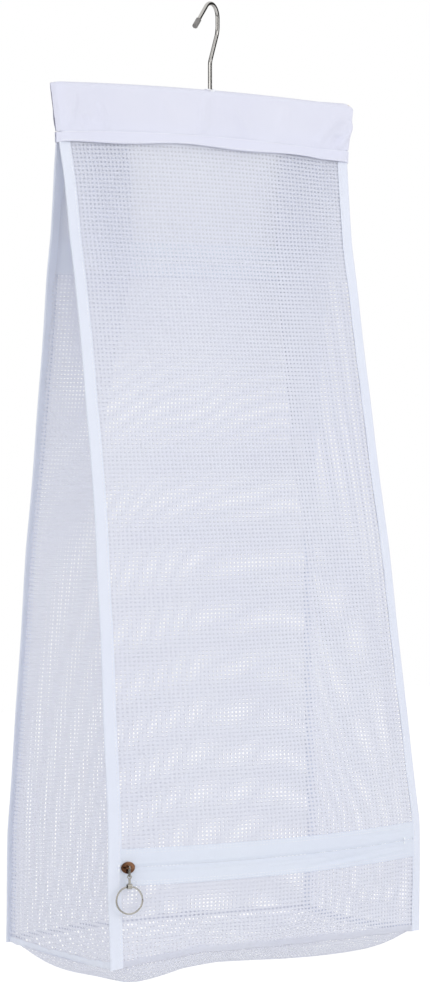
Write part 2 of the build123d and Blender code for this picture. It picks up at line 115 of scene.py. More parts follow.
FRONT_CREASES = [
    ((-150, 70), (-138, 260), 16, 1.6), ((-96, 66), (-84, 300), 20, -1.8),
    ((-20, 64), (-14, 330), 22, 1.7), ((58, 66), (52, 300), 20, -1.7),
    ((118, 70), (104, 330), 18, 1.8), ((-120, 330), (-60, 640), 34, 2.4),
    ((10, 360), (40, 700), 40, -2.6), ((128, 330), (150, 690), 26, 2.4),
    ((-60, 640), (60, 600), 30, -2.0), ((-168, 790), (-60, 836), 14, -3.2),
    ((-60, 836), (60, 800), 16, 3.0), ((60, 800), (176, 826), 15, -3.4),
    ((-40, 786), (30, 832), 12, 2.2),
]
BACK_CREASES = [
    ((-140, 190), (-110, 420), 24, 1.8), ((30, 190), (10, 460), 30, -2.0),
    ((120, 200), (130, 430), 22, 1.8), ((-60, 430), (-90, 720), 36, 2.6),
    ((70, 470), (110, 760), 34, -2.6), ((-10, 600), (40, 830), 30, 2.4),
]


def face_folds(x, depth, side):
    """How far the front or back cloth stands off its smooth shape."""
    creases = FRONT_CREASES if side == FRONT else BACK_CREASES
    off = sum(crease(x, depth, *c) for c in creases)
    wave = 0.9 * np.sin(x / 41.0 + 1.4 * np.sin(depth / 130.0)) * np.sin(depth / 95.0 + side)
    off = off + wave + 0.45 * np.sin(x / 17.0 + depth / 210.0 + 2.0 * side)
    zip_depth = FRONT_ZIP if side == FRONT else REAR_ZIP
    clear = np.clip((np.abs(depth - zip_depth) - 9.0) / 46.0, 0.0, 1.0)
    clear = clear * clear * (3.0 - 2.0 * clear)
    half = at(CLOTH_HALF_W, depth)
    edge = np.clip((half - 8.0 - np.abs(x - at(LEAN, depth))) / 34.0, 0.0, 1.0)
    top = np.clip((depth - 58.0) / 30.0, 0.0, 1.0)
    low = np.clip((856.0 - depth) / 14.0, 0.0, 1.0)
    return off * clear * edge * top * low


def face_y(x, depth, side):
    """Outer surface of the front or back: an arc between straight corner strips."""
    chord = at(FACE_HALF_W, depth) - SEAM_W
    sag = np.maximum(at(FRONT_BULGE if side == FRONT else BACK_BULGE, depth), 0.02)
    radius = (chord ** 2 + sag ** 2) / (2 * sag)
    slope = chord / (radius - sag)
    inside = np.minimum(np.abs(x), chord)
    y = at(HALF_D, depth) + slope * SEAM_W + np.sqrt(radius ** 2 - inside ** 2)
    y = y - (radius - sag) - slope * (np.abs(x) - inside)
    return side * (y + face_folds(x, depth, side))


def bottom_arch(x, side):
    """The front's lower edge lifts a little between its corners."""
    if side == BACK:
        return 3.0 * np.cos(np.clip(x / 190.0, -1, 1) * np.pi / 2)
    return np.interp(x, [-190, -165, -130, -89, 0, 120, 200], [-4, -1, 3.5, 7, 6.5, 4, 0])


def face_height(x, depth, side):
    low = np.clip((depth - 775.0) / (CORNER - 775.0), 0.0, 1.3)
    return SLEEVE_TOP - depth + bag_lift(x, depth) + bottom_arch(x, side) * low * low


def on_face(x, depth, side, behind=0.0):
    """A point on the front or back, this far behind its outer surface."""
    y = face_y(x, depth, side) - side * behind
    return np.stack([x, y, face_height(x, depth, side)], axis=1)


def inner_half_width(depth):
    return at(CLOTH_HALF_W, depth) - SEAM_W


def gusset_edge(depth, side, hand):
    """Where a gusset is caught between the leaves of its corner binding."""
    x = at(LEAN, depth) + hand * (at(CLOTH_HALF_W, depth) - 5.5)
    return x, face_y(x, depth, side) - side * 1.0, face_height(x, depth, side)


GUSSET_CREASES = {
    LEFT: [((-40, 480), (-70, 700), 18, 2.0), ((20, 560), (60, 800), 20, -2.4),
           ((-20, 760), (40, 838), 14, 2.8), ((-70, 780), (-20, 836), 12, -2.4),
           ((60, 400), (74, 560), 12, 1.4)],
    RIGHT: [((-50, 500), (-20, 760), 20, 2.2), ((36, 420), (66, 700), 18, -2.0),
            ((10, 770), (60, 836), 13, 2.6)],
}


def on_gusset(share, depth, hand, behind=0.0):
    """A point on a side gusset; share runs from -1 at the front to 1 at the back."""
    pleat = at(LEFT_PLEAT if hand == LEFT else RIGHT_PLEAT, depth)
    front = gusset_edge(depth, FRONT, hand)
    back = gusset_edge(depth, BACK, hand)
    soft = 0.13
    reach = (np.sqrt(share ** 2 + soft ** 2) - soft) / (math.sqrt(1 + soft ** 2) - soft)
    crease_x = at(LEAN, depth) + hand * (at(CLOTH_HALF_W, depth) - pleat)
    edge = np.where(share < 0, front, back)
    x = crease_x + (edge[0] - crease_x) * reach
    y = edge[1] * np.abs(share)
    middle_z = SLEEVE_TOP - depth
    z = middle_z + (edge[2] - middle_z) * np.abs(share)
    low = np.clip((depth - 775.0) / (CORNER - 775.0), 0.0, 1.3)
    z = z - 4.0 * low * (1.0 - share ** 2)
    off = sum(crease(share * 88.0, depth, *c) for c in GUSSET_CREASES[hand])
    off = off + 0.7 * np.sin(depth / 37.0 + 3.0 * share) * (1.0 - share ** 4)
    off = off * np.clip((1.0 - np.abs(share)) * 7.0, 0.0, 1.0)
    return np.stack([x + hand * (off - behind), y, z], axis=1)


# share of the way from the left (-1) to the right (1), and how far the bottom sags there
BELLY = ((-1.0, 29.0), (-0.8, 31.0), (-0.55, 24.0), (-0.3, 20.5), (0.6, 25.0), (1.0, 24.0))


def on_bottom(share_x, share_y):
    """A point on the sagging bottom; both shares run from -1 to 1."""
    depth = np.full_like(share_x, CORNER)
    half = at(CLOTH_HALF_W, depth) - 5.0
    x = at(LEAN, depth) + share_x * half
    front = face_y(x, depth, FRONT) + 1.2
    back = face_y(x, depth, BACK) - 1.2
    y = front + (back - front) * (share_y + 1) / 2
    z_front, z_back = face_height(x, depth, FRONT), face_height(x, depth, BACK)
    z = z_front + (z_back - z_front) * (share_y + 1) / 2
    z = z - 4.0 * (1 - share_y ** 2) * share_x ** 8
    sag = (1 - np.abs(share_x) ** 9) * (1 - np.abs(share_y) ** 6)
    off = crease(x, y, (-150, -40), (30, 30), 26, 2.6)
    off = off + crease(x, y, (20, -50), (150, 20), 24, -2.6)
    off = off + crease(x, y, (-100, 50), (60, -10), 22, -2.2)
    belly = np.interp(share_x, *zip(*BELLY))
    z = z - sag * (belly + off + 1.2 * np.sin(x / 33.0) * np.sin(y / 19.0))
    return np.stack([x, y, z], axis=1)


# ---------------------------------------------------------------- flat cloth and pieces
def flat_cloth(width, height, cell_w, cell_h, strand=0.0, relief=0.25):
    """Flat cloth from its middle top edge down; with a strand width it is a net."""
    bm = bmesh.new()
    columns, rows = max(1, round(width / cell_w)), max(1, round(height / cell_h))
    bmesh.ops.create_grid(bm, x_segments=columns, y_segments=rows, size=0.5)
    bmesh.ops.scale(bm, vec=(width, height, 1.0), verts=bm.verts)
    bmesh.ops.translate(bm, vec=(0.0, -height / 2, 0.0), verts=bm.verts)
    if strand:
        cells = bm.faces[:]
        bmesh.ops.translate(bm, vec=(0.0, 0.0, relief), verts=bm.verts)
        bmesh.ops.inset_individual(bm, faces=cells, thickness=strand / 2, use_even_offset=True)
        rim = {v for face in cells for v in face.verts}
        bmesh.ops.translate(bm, vec=(0.0, 0.0, -relief), verts=list(rim))
        bmesh.ops.delete(bm, geom=cells, context="FACES_ONLY")
    threads = bm.loops.layers.uv.new("cloth")
    for face in bm.faces:
        for loop in face.loops:
            loop[threads].uv = loop.vert.co.xy
    return bm


def finish_piece(bm, name, material, body, slot_name):
    """A mesh object on its CAD body, smooth, with its finish."""
    mesh = bpy.data.meshes.new(name)
    bm.to_mesh(mesh)
    bm.free()
    mesh.shade_smooth()
    mesh.materials.append(material)
    piece = bpy.data.objects.new(name, mesh)
    bpy.context.scene.collection.objects.link(piece)
    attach(piece, body)
    return piece


def sew(bm, name, place, material, slot_name):
    """Moves flat cloth to where it hangs; place takes the flat x and the depth down it."""
    piece = finish_piece(bm, name, material, "bag", slot_name)
    mesh = piece.data
    flat = np.empty(len(mesh.vertices) * 3)
    mesh.vertices.foreach_get("co", flat)
    flat = flat.reshape(-1, 3)
    points = place(flat[:, 0], -flat[:, 1]) * MM
    mesh.vertices.foreach_set("co", points.ravel())
    mesh.update()
    if np.any(flat[:, 2]):
        outward = np.empty(len(mesh.vertices) * 3)
        mesh.vertex_normals.foreach_get("vector", outward)
        points = points + outward.reshape(-1, 3) * flat[:, 2:3] * MM
        mesh.vertices.foreach_set("co", points.ravel())
        mesh.update()
    return piece


def add_ball_stitch(bm, start, end, thickness):
    """One short thread stitch, a slim grain between two points, in metres."""
    start, end = Vector(start), Vector(end)
    run = end - start
    turn = run.to_track_quat("X", "Z").to_matrix().to_4x4()
    size = Matrix.Diagonal((run.length / 2, thickness / 2, thickness / 2, 1.0))
    place = Matrix.Translation((start + end) / 2) @ turn @ size
    bmesh.ops.create_uvsphere(bm, u_segments=5, v_segments=4, radius=1.0, matrix=place)


def stitch_row(bm, line, length=2.6, gap=0.9, thickness=0.55):
    """Lockstitches along a line of points in millimetres."""
    line = np.asarray(line, float)
    steps = np.linalg.norm(np.diff(line, axis=0), axis=1)
    along = np.concatenate([[0.0], np.cumsum(steps)])
    for start in np.arange(gap, along[-1] - length, length + gap):
        ends = [
            [np.interp(where, along, line[:, axis]) * MM for axis in range(3)]
            for where in (start, start + length)
        ]
        add_ball_stitch(bm, ends[0], ends[1], thickness * MM)


# ---------------------------------------------------------------- finishes
def linear(red, green, blue):
    """A colour written as it looks on screen, 0 to 255, as the shaders take it."""
    values = [c / 255 for c in (red, green, blue)]
    curved = [c / 12.92 if c <= 0.04045 else ((c + 0.055) / 1.055) ** 2.4 for c in values]
    return (*curved, 1.0)


def add(tree, kind, **settings):
    node = tree.nodes.new(kind)
    for key, value in settings.items():
        setattr(node, key, value)
    return node


def calculate(tree, operation, first, second=None):
    """A Math node; each input is a socket or a number."""
    node = add(tree, "ShaderNodeMath", operation=operation)
    for index, value in enumerate((first, second)):
        if value is None:
            continue
        if isinstance(value, (int, float)):
            node.inputs[index].default_value = value
        else:
            tree.links.new(value, node.inputs[index])
    return node.outputs[0]


def new_group(name, inputs, outputs):
    tree = bpy.data.node_groups.new(name, "ShaderNodeTree")
    for socket, kind in inputs:
        tree.interface.new_socket(name=socket, in_out="INPUT", socket_type=kind)
    for socket, kind in outputs:
        tree.interface.new_socket(name=socket, in_out="OUTPUT", socket_type=kind)
    return tree, add(tree, "NodeGroupInput"), add(tree, "NodeGroupOutput")


VECTOR, NUMBER = "NodeSocketVector", "NodeSocketFloat"


def build_plain_weave():
    """Over-and-under threads on a piece's cloth map, which is in millimetres."""
    tree, given, made = new_group(
        "plain weave", [("Cloth", VECTOR), ("Threads per mm", NUMBER)],
        [("Height", NUMBER), ("Thread", NUMBER)])
    scale = add(tree, "ShaderNodeVectorMath", operation="SCALE")
    tree.links.new(given.outputs["Cloth"], scale.inputs[0])
    tree.links.new(given.outputs["Threads per mm"], scale.inputs["Scale"])
    parts = add(tree, "ShaderNodeSeparateXYZ")
    tree.links.new(scale.outputs[0], parts.inputs[0])
    rounds, cells = [], []
    for axis in ("X", "Y"):
        turned = calculate(tree, "MULTIPLY", parts.outputs[axis], math.pi)
        rounds.append(calculate(tree, "ABSOLUTE", calculate(tree, "SINE", turned)))
        cells.append(calculate(tree, "FLOOR", parts.outputs[axis]))
    parity = calculate(tree, "PINGPONG", calculate(tree, "ADD", *cells), 1.0)
    over = calculate(tree, "MULTIPLY", rounds[0], parity)
    under = calculate(tree, "MULTIPLY", rounds[1], calculate(tree, "SUBTRACT", 1.0, parity))
    height = calculate(tree, "ADD", over, under)
    tree.links.new(height, made.inputs["Height"])
    # Thread is low in the gaps between the threads, where the cloth finish paints shade
    gaps = calculate(tree, "MULTIPLY", rounds[0], rounds[1])
    tree.links.new(calculate(tree, "POWER", gaps, 0.5), made.inputs["Thread"])
    return tree


def build_soft_variation():
    """Slow uneven patches, as in handled cloth or rubbed metal."""
    tree, given, made = new_group(
        "soft variation", [("Place", VECTOR), ("Scale", NUMBER), ("Detail", NUMBER)],
        [("Patch", NUMBER)])
    noise = add(tree, "ShaderNodeTexNoise", noise_dimensions="3D")
    tree.links.new(given.outputs["Place"], noise.inputs["Vector"])
    tree.links.new(given.outputs["Scale"], noise.inputs["Scale"])
    tree.links.new(given.outputs["Detail"], noise.inputs["Detail"])
    spread = add(tree, "ShaderNodeMapRange", interpolation_type="SMOOTHSTEP")
    spread.inputs["From Min"].default_value = 0.3
    spread.inputs["From Max"].default_value = 0.7
    tree.links.new(noise.outputs["Fac"], spread.inputs["Value"])
    tree.links.new(spread.outputs["Result"], made.inputs["Patch"])
    return tree


PLAIN_WEAVE = build_plain_weave()
SOFT_VARIATION = build_soft_variation()


def place_group(tree, group, **values):
    node = add(tree, "ShaderNodeGroup", node_tree=group)
    for key, value in values.items():
        name = key.replace("_", " ")
        if isinstance(value, (int, float)):
            node.inputs[name].default_value = value
        else:
            tree.links.new(value, node.inputs[name])
    return node


def start_material(name):
    material = bpy.data.materials.new(name)
    material.use_nodes = True
    tree = material.node_tree
    tree.nodes.clear()
    return material, tree, add(tree, "ShaderNodeOutputMaterial")


def mix_colours(tree, amount, first, second):
    node = add(tree, "ShaderNodeMix", data_type="RGBA")
    tree.links.new(amount, node.inputs["Factor"])
    for index, value in ((6, first), (7, second)):
        if isinstance(value, tuple):
            node.inputs[index].default_value = value
        else:
            tree.links.new(value, node.inputs[index])
    return node.outputs[2]


def cloth_finish(name, colour, patch_tone_and_gap_shade, threads, see_through, bump=0.5, rough=0.82, sheen=0.25):
    """White woven cloth that lets some light through from behind, with painted shade between its
    threads.
    """
    material, tree, out = start_material(name)
    flat = add(tree, "ShaderNodeUVMap", uv_map="cloth")
    weave = place_group(tree, PLAIN_WEAVE, Cloth=flat.outputs["UV"], Threads_per_mm=threads)
    where = add(tree, "ShaderNodeTexCoord")
    patch = place_group(tree, SOFT_VARIATION, Place=where.outputs["Object"], Scale=9.0, Detail=3.0)
    even = mix_colours(tree, patch.outputs["Patch"], patch_tone_and_gap_shade, colour)
    # painted shade: the gaps between the threads are darkened
    dark = tuple(c * 0.86 for c in patch_tone_and_gap_shade[:3]) + (1.0,)
    colours = mix_colours(tree, weave.outputs["Thread"], dark, even)
    bumps = add(tree, "ShaderNodeBump")
    bumps.inputs["Strength"].default_value = bump
    bumps.inputs["Distance"].default_value = 0.0002
    tree.links.new(weave.outputs["Height"], bumps.inputs["Height"])
    front = add(tree, "ShaderNodeBsdfPrincipled")
    front.inputs["Roughness"].default_value = rough
    front.inputs["Specular IOR Level"].default_value = 0.2
    front.inputs["Sheen Weight"].default_value = sheen
    tree.links.new(colours, front.inputs["Base Color"])
    tree.links.new(bumps.outputs["Normal"], front.inputs["Normal"])
    behind = add(tree, "ShaderNodeBsdfTranslucent")
    tree.links.new(colours, behind.inputs["Color"])
    both = add(tree, "ShaderNodeMixShader")
    both.inputs[0].default_value = see_through
    tree.links.new(front.outputs[0], both.inputs[1])
    tree.links.new(behind.outputs[0], both.inputs[2])
    tree.links.new(both.outputs[0], out.inputs["Surface"])
    return material


def metal_finish(name, colour, worn, rough, rubbed, scale=220.0, metallic=1.0, bump=0.08):
    """Plated metal with a slightly uneven, rubbed surface."""
    material, tree, out = start_material(name)
    where = add(tree, "ShaderNodeTexCoord")
    fine = place_group(tree, SOFT_VARIATION, Place=where.outputs["Object"], Scale=scale, Detail=6.0)
    wide = place_group(tree, SOFT_VARIATION, Place=where.outputs["Object"], Scale=60.0, Detail=2.0)
    shader = add(tree, "ShaderNodeBsdfPrincipled")
    shader.inputs["Metallic"].default_value = metallic
    base = mix_colours(tree, wide.outputs["Patch"], colour, worn)
    tree.links.new(base, shader.inputs["Base Color"])
    spread = calculate(tree, "MULTIPLY", fine.outputs["Patch"], rubbed - rough)
    tree.links.new(calculate(tree, "ADD", spread, rough), shader.inputs["Roughness"])
    bumps = add(tree, "ShaderNodeBump")
    bumps.inputs["Strength"].default_value = bump
    bumps.inputs["Distance"].default_value = 0.0001
    tree.links.new(fine.outputs["Patch"], bumps.inputs["Height"])
    tree.links.new(bumps.outputs["Normal"], shader.inputs["Normal"])
    tree.links.new(shader.outputs[0], out.inputs["Surface"])
    return material


def wood_finish(name):
    """Pale lath wood, with grain along the bar."""
    material, tree, out = start_material(name)
    where = add(tree, "ShaderNodeTexCoord")
    stretch = add(tree, "ShaderNodeMapping")
    stretch.inputs["Scale"].default_value = (6.0, 130.0, 130.0)
    tree.links.new(where.outputs["Object"], stretch.inputs["Vector"])
    grain = place_group(tree, SOFT_VARIATION, Place=stretch.outputs[0], Scale=1.0, Detail=5.0)
    shader = add(tree, "ShaderNodeBsdfPrincipled")
    shader.inputs["Roughness"].default_value = 0.6
    pale, brown = linear(222, 196, 158), linear(186, 150, 108)
    base = mix_colours(tree, grain.outputs["Patch"], brown, pale)
    tree.links.new(base, shader.inputs["Base Color"])
    tree.links.new(shader.outputs[0], out.inputs["Surface"])
    return material


# name, colour, tone of the slow patches and base of the painted shade between the threads, threads
# per mm, share of light let through, bump
net_white = cloth_finish("knitted net", linear(239, 241, 249), linear(235, 237, 247), 1.6, 0.40)
# The gusset tops' taffeta and the back panel's taffeta are one solid cloth in two copies: the
# gusset tops' copy is lighter, painted light, and the back panel's copy is darker, painted shade.
lit_gusset_taffeta = cloth_finish("taffeta", linear(246, 248, 253), linear(243, 245, 252), 3.2, 0.55, 0.3)
shaded_back_taffeta = cloth_finish("back taffeta with painted shade", linear(236, 237, 243), linear(232, 234, 241),
                          3.2, 0.36, 0.3)
sleeve_white = cloth_finish("sleeve cloth", linear(234, 236, 250), linear(230, 232, 248),
                            3.0, 0.12, 0.35)
tape_white = cloth_finish("zip tape weave", linear(240, 246, 255), linear(237, 243, 255),
                          2.0, 0.34, 0.6)
binding_white = cloth_finish("binding tape", linear(238, 243, 255), linear(235, 240, 254),
                             1.8, 0.10, 0.6)
thread_white = metal_finish("sewing thread", linear(246, 247, 252), linear(236, 238, 246),
                            0.6, 0.85, 900.0, 0.0, 0.3)
coil_white = metal_finish("nylon coil", linear(244, 245, 250), linear(234, 236, 244),
                          0.3, 0.45, 500.0, 0.0, 0.1)
chrome = metal_finish("chrome plate", linear(196, 194, 191), linear(186, 184, 180),
                      0.04, 0.1, 220.0, 1.0, 0.01)
steel = metal_finish("dull steel", linear(170, 168, 164), linear(146, 143, 138), 0.3, 0.45)
nickel = metal_finish("bright nickel", linear(196, 194, 188), linear(170, 167, 160), 0.1, 0.25)
bronze = metal_finish("brushed bronze", linear(168, 126, 98), linear(98, 66, 48), 0.1, 0.24)
brass = metal_finish("turned brass", linear(206, 172, 108), linear(178, 142, 82), 0.2, 0.35)
enamel = metal_finish("white enamel", linear(240, 243, 250), linear(230, 234, 243),
                      0.4, 0.55, 400.0, 0.0, 0.1)
vinyl = metal_finish("grey vinyl", linear(128, 126, 124), linear(104, 102, 100), 0.3, 0.42,
                     160.0, 0.0, 0.1)
lath = wood_finish("bar lath")


# ---------------------------------------------------------------- sleeve over the bar
SLEEVE_HALF = 186.5
SLEEVE_MIDDLE = -4.1
SLEEVE_R = 5.0
OVER_TOP = SLEEVE_R * math.pi / 2
SLEEVE_SIDE = OVER_TOP + STITCH_LINE - SLEEVE_R
SLEEVE_CREASES = [
    ((-163, 10), (-174, 46), 3.6, 1.5), ((-160, 12), (-151, 47), 3.4, -1.4),
    ((-143, 12), (-127, 47), 4.0, 1.3), ((-138, 10), (-144, 40), 4.0, -1.0),
    ((-64, 10), (-50, 46), 7.0, 0.9), ((-8, 6), (-14, 47), 4.2, 1.5),
    ((1, 8), (2, 47), 3.6, -1.5), ((22, 14), (47, 47), 5.0, 1.1),
    ((92, 10), (80, 46), 7.0, 0.9), ((160, 12), (128, 47), 5.0, 1.5),
    ((181, 16), (160, 47), 3.6, 2.4), ((176, 14), (150, 47), 3.4, -1.7),
]


def on_sleeve(x, down):
    """Cloth from the back stitch line over the bar to the front stitch line."""
    run = down - SLEEVE_SIDE
    angle = np.clip(run / SLEEVE_R, -math.pi / 2, math.pi / 2)
    below = np.maximum(np.abs(run) - OVER_TOP, 0.0)
    height = SLEEVE_R * (1 - np.cos(angle)) + below
    squeeze = np.clip((height - 34.0) / 14.4, 0.0, 1.0)
    half = SLEEVE_R * np.sin(np.abs(angle)) - 0.6 * squeeze
    near_end = np.clip((np.abs(x) - (SLEEVE_HALF - 6.0)) / 6.0, 0.0, 0.995)
    half = half * np.sqrt(1 - near_end ** 2)
    world_x = SLEEVE_MIDDLE + x * (1 - 0.036 * height / STITCH_LINE)
    drop = 5.5 * np.clip((x - 172.0) / 14.0, 0, 1) ** 2
    drop = drop + 1.5 * np.clip((-x - 174.0) / 12.0, 0, 1) ** 2
    z = SLEEVE_TOP - height + bag_lift(world_x, height) - drop * (1 - height / STITCH_LINE)
    side = np.where(run > 0, -1.0, 1.0)
    folds = sum(crease(world_x + 12.0 * (side > 0), height, *c) for c in SLEEVE_CREASES)
    folds = folds + 0.35 * np.sin(world_x / 19.0) * np.sin(height / 9.0)
    folds = 1.5 * folds * np.clip(height / 10.0, 0.0, 1.0)
    below_bar = (height > 35.0) & (np.abs(world_x) > 14.0)
    closest = np.where(below_bar, 0.8, np.minimum(half, 4.5))
    out = np.maximum(half + folds, closest)
    return np.stack([world_x, side * out, z], axis=1)


def make_sleeve():
    bm = flat_cloth(2 * SLEEVE_HALF, 2 * SLEEVE_SIDE, 2.6, 2.2)
    for face in [f for f in bm.faces if is_under_eyelet(f)]:
        bm.faces.remove(face)
    piece = sew(bm, "sleeve_cloth", on_sleeve, sleeve_white, "sleeve_cloth")
    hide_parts("sleeve")
    return piece


def is_under_eyelet(face):
    """Cloth cut away for the hook's shank."""
    centre = face.calc_center_median()
    return (centre.x + SLEEVE_MIDDLE) ** 2 + (-centre.y - SLEEVE_SIDE) ** 2 < 3.4 ** 2


HEM_H = HEM_END - STITCH_LINE


def hem_place(side):
    """Doubled hem: down its outer leaf, round its edge and up again inside."""
    def place(x, down):
        turn = 0.8
        leaf = HEM_H - turn
        bend = np.clip((down - leaf) / turn, 0.0, math.pi)
        depth = np.where(down < leaf, down, leaf + turn * np.sin(bend))
        depth = np.where(bend >= math.pi, 2 * leaf + math.pi * turn - down, depth)
        world_x = SLEEVE_MIDDLE - 0.3 + x * (1 - 0.003 * depth / HEM_H)
        gather = 0.45 * np.sin(world_x / 7.3 + 1.7 * np.sin(world_x / 31.0)) * depth / HEM_H
        near = np.clip((np.abs(x) - 172.0) / 7.5, 0.0, 1.0)
        open_w = 1.5 * depth / HEM_H + gather
        outer = 4.6 + open_w - (3.0 + open_w) * near ** 2
        y = side * (outer - turn * (1 - np.cos(bend)))
        fall = STITCH_LINE + depth + 1.2 * np.sin(world_x / 23.0) * depth / HEM_H
        z = SLEEVE_TOP - fall + bag_lift(world_x, fall) - 1.0 * near
        return np.stack([world_x * np.ones_like(y), y, z], axis=1)
    return place


def mirrored(place):
    """The same cloth seen from behind, so that its outer face stays outside."""
    return lambda x, down: place(-x, down)


def make_hems():
    for side, word in ((FRONT, "front"), (BACK, "back")):
        place = hem_place(side) if side == FRONT else mirrored(hem_place(side))
        name = f"sleeve_hem_{word}_cloth"
        piece = sew(flat_cloth(359.5, 23.0, 2.6, 1.15), name, place, sleeve_white, "sleeve_cloth")
        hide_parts(f"sleeve_hem_{word}")
        bm = bmesh.new()
        x = np.linspace(-176.5, 176.5, 240)
        for down in (0.9, HEM_H - 1.8):
            line = hem_place(side)(x, np.full_like(x, down))
            line[:, 1] += side * 0.15
            stitch_row(bm, line)
        finish_piece(bm, f"hem_stitches_{word}", thread_white, "bag", "thread")


def make_eyelet():
    """Buttonhole stitches laid round the hole for the shank."""
    bm = bmesh.new()
    count = 30
    top = SLEEVE_TOP + 0.55 * 6.2
    for index in range(count):
        angle = 2 * math.pi * index / count
        inner = Vector((3.0 * math.cos(angle), 3.0 * math.sin(angle), 0))
        outer = Vector((6.6 * math.cos(angle), 4.7 * math.sin(angle), 0))
        for point, rise in ((inner, 0.55), (outer, 0.35)):
            bow = SLEEVE_R - math.sqrt(max(SLEEVE_R ** 2 - point.y ** 2, 0.0))
            point.z = top - bow + rise
        add_ball_stitch(bm, inner * MM, outer * MM, 0.95 * MM)
    count = 20
    for index in range(count):
        start = 2 * math.pi * index / count
        ends = [Vector((3.1 * math.cos(a), 3.1 * math.sin(a), 0)) for a in (start, start + 0.36)]
        for point in ends:
            point.z = top - SLEEVE_R + math.sqrt(SLEEVE_R ** 2 - point.y ** 2) + 0.75
        add_ball_stitch(bm, ends[0] * MM, ends[1] * MM, 0.9 * MM)
    piece = finish_piece(bm, "eyelet_stitches", thread_white, "bag", "thread")
    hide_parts("hook_eyelet")


# ---------------------------------------------------------------- front and back cloth
def face_place(side, top, behind, width):
    """Flat cloth of this half width, fitted between the two corner bindings."""
    def place(x, down):
        depth = top + down
        world_x = at(LEAN, depth) + x / width * (inner_half_width(depth) + 6.0)
        return on_face(world_x, depth, side, behind)
    return place if side == FRONT else mirrored(place)


def make_face(name, side, top, end, replaced, net):
    width = float(at(CLOTH_HALF_W, (top + end) / 2)) - SEAM_W + 6.0
    cell = MESH_CELL if net else (5.0, 5.0)
    bm = flat_cloth(2 * width, end - top, *cell, STRAND if net else 0.0)
    behind = 0.7 if net else 0.4
    # the back panel's solid cloth is the darker copy of the taffeta, painted shade
    material, slot_name = (net_white, "mesh") if net else (shaded_back_taffeta, "solid_cloth")
    piece = sew(bm, name, face_place(side, top, behind, width), material, slot_name)
    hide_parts(replaced)


def make_faces():
    make_face("front_net_upper", FRONT, HEM_END - 3.5, FRONT_ZIP - BAND + 1.5,
              "front_panel_upper", True)
    make_face("front_net_lower", FRONT, FRONT_ZIP + BAND - 1.5, CORNER + 0.5,
              "front_panel_lower", True)
    make_face("back_cloth_upper", BACK, HEM_END - 3.5, REAR_ZIP - BAND + 1.5,
              "back_panel_upper", False)
    make_face("back_net_lower", BACK, REAR_ZIP + BAND - 1.5, CORNER + 0.5,
              "back_panel_lower", True)


GUSSET_SPANS = [
    ("top", HEM_END - 3.5, REAR_ZIP - BAND, False),
    ("band", REAR_ZIP - BAND - 0.6, REAR_ZIP + BAND + 0.6, False),
    ("mesh", REAR_ZIP + BAND, CORNER, True),
]


def gusset_place(hand, top, half, behind):
    def place(x, down):
        return on_gusset(x / half * hand, top + down, hand, behind)
    return place


def gusset_flat(hand, top, end):
    """Half width and flat area of a gusset's cut, from its shape at each height."""
    depth = np.linspace(top, end, 80)
    share = np.linspace(-1, 1, 60)
    widths = []
    for level in depth:
        line = on_gusset(share, np.full_like(share, level), hand)
        widths.append(np.linalg.norm(np.diff(line[:, :2], axis=0), axis=1).sum())
    return max(widths) / 2, float(np.mean(widths)) * (end - top)


def make_gussets():
    for hand, word in ((LEFT, "left"), (RIGHT, "right")):
        for part, top, end, net in GUSSET_SPANS:
            half, area = gusset_flat(hand, top, end)
            cell = MESH_CELL if net else (3.2, 4.0)
            bm = flat_cloth(2 * half, end - top, *cell, STRAND if net else 0.0)
            behind = 0.5 if part == "band" else 0.0
            place = gusset_place(hand, top, half, -behind)
            # the gusset tops' solid cloth is the lighter copy of the taffeta, painted light
            material, slot_name = (net_white, "mesh") if net else (lit_gusset_taffeta, "solid_cloth")
            piece = sew(bm, f"gusset_{word}_{part}_cloth", place, material, slot_name)
            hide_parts(f"gusset_{word}_{part}")


BOTTOM_CUT = (372.0, 205.0)


def bottom_place(x, down):
    return on_bottom(2 * x / BOTTOM_CUT[0], 2 * down / BOTTOM_CUT[1] - 1.0)


def make_bottom():
    bm = flat_cloth(*BOTTOM_CUT, *MESH_CELL, STRAND)
    bmesh.ops.reverse_faces(bm, faces=bm.faces)
    piece = sew(bm, "bottom_net", bottom_place, net_white, "mesh")
    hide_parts("bottom_panel")


# ---------------------------------------------------------------- bindings
TAPE_FOLD = 1.0


def folded(across, width):
    """Section of a tape folded in half: how far in from its edge, and how far out."""
    bend = np.clip(across / TAPE_FOLD, -math.pi / 2, math.pi / 2)
    leaf = np.maximum(np.abs(across) - TAPE_FOLD * math.pi / 2, 0.0)
    inward = TAPE_FOLD * (1 - np.cos(bend)) + leaf
    lie = 1.0 - 0.45 * np.clip((inward - width + 2.5) / 2.5, 0, 1) ** 2
    return inward, TAPE_FOLD * np.sin(bend) * lie


def binding_place(side, hand, top):
    def place(x, down):
        depth = top + down
        inward, out = folded(x * side * hand * -1, BINDING_W)
        pucker = 0.35 * np.sin(depth / 9.0 + 2.0 * np.sin(depth / 41.0))
        edge = at(CLOTH_HALF_W, depth) + 0.35 * np.sin(depth / 23.0)
        world_x = at(LEAN, depth) + hand * (edge - inward)
        point = on_face(world_x, depth, side, 0.75)
        point[:, 1] += side * (out + pucker * np.clip(inward / 6.0, 0, 1) * 0.6)
        return point
    return place


BINDING_W = 12.6


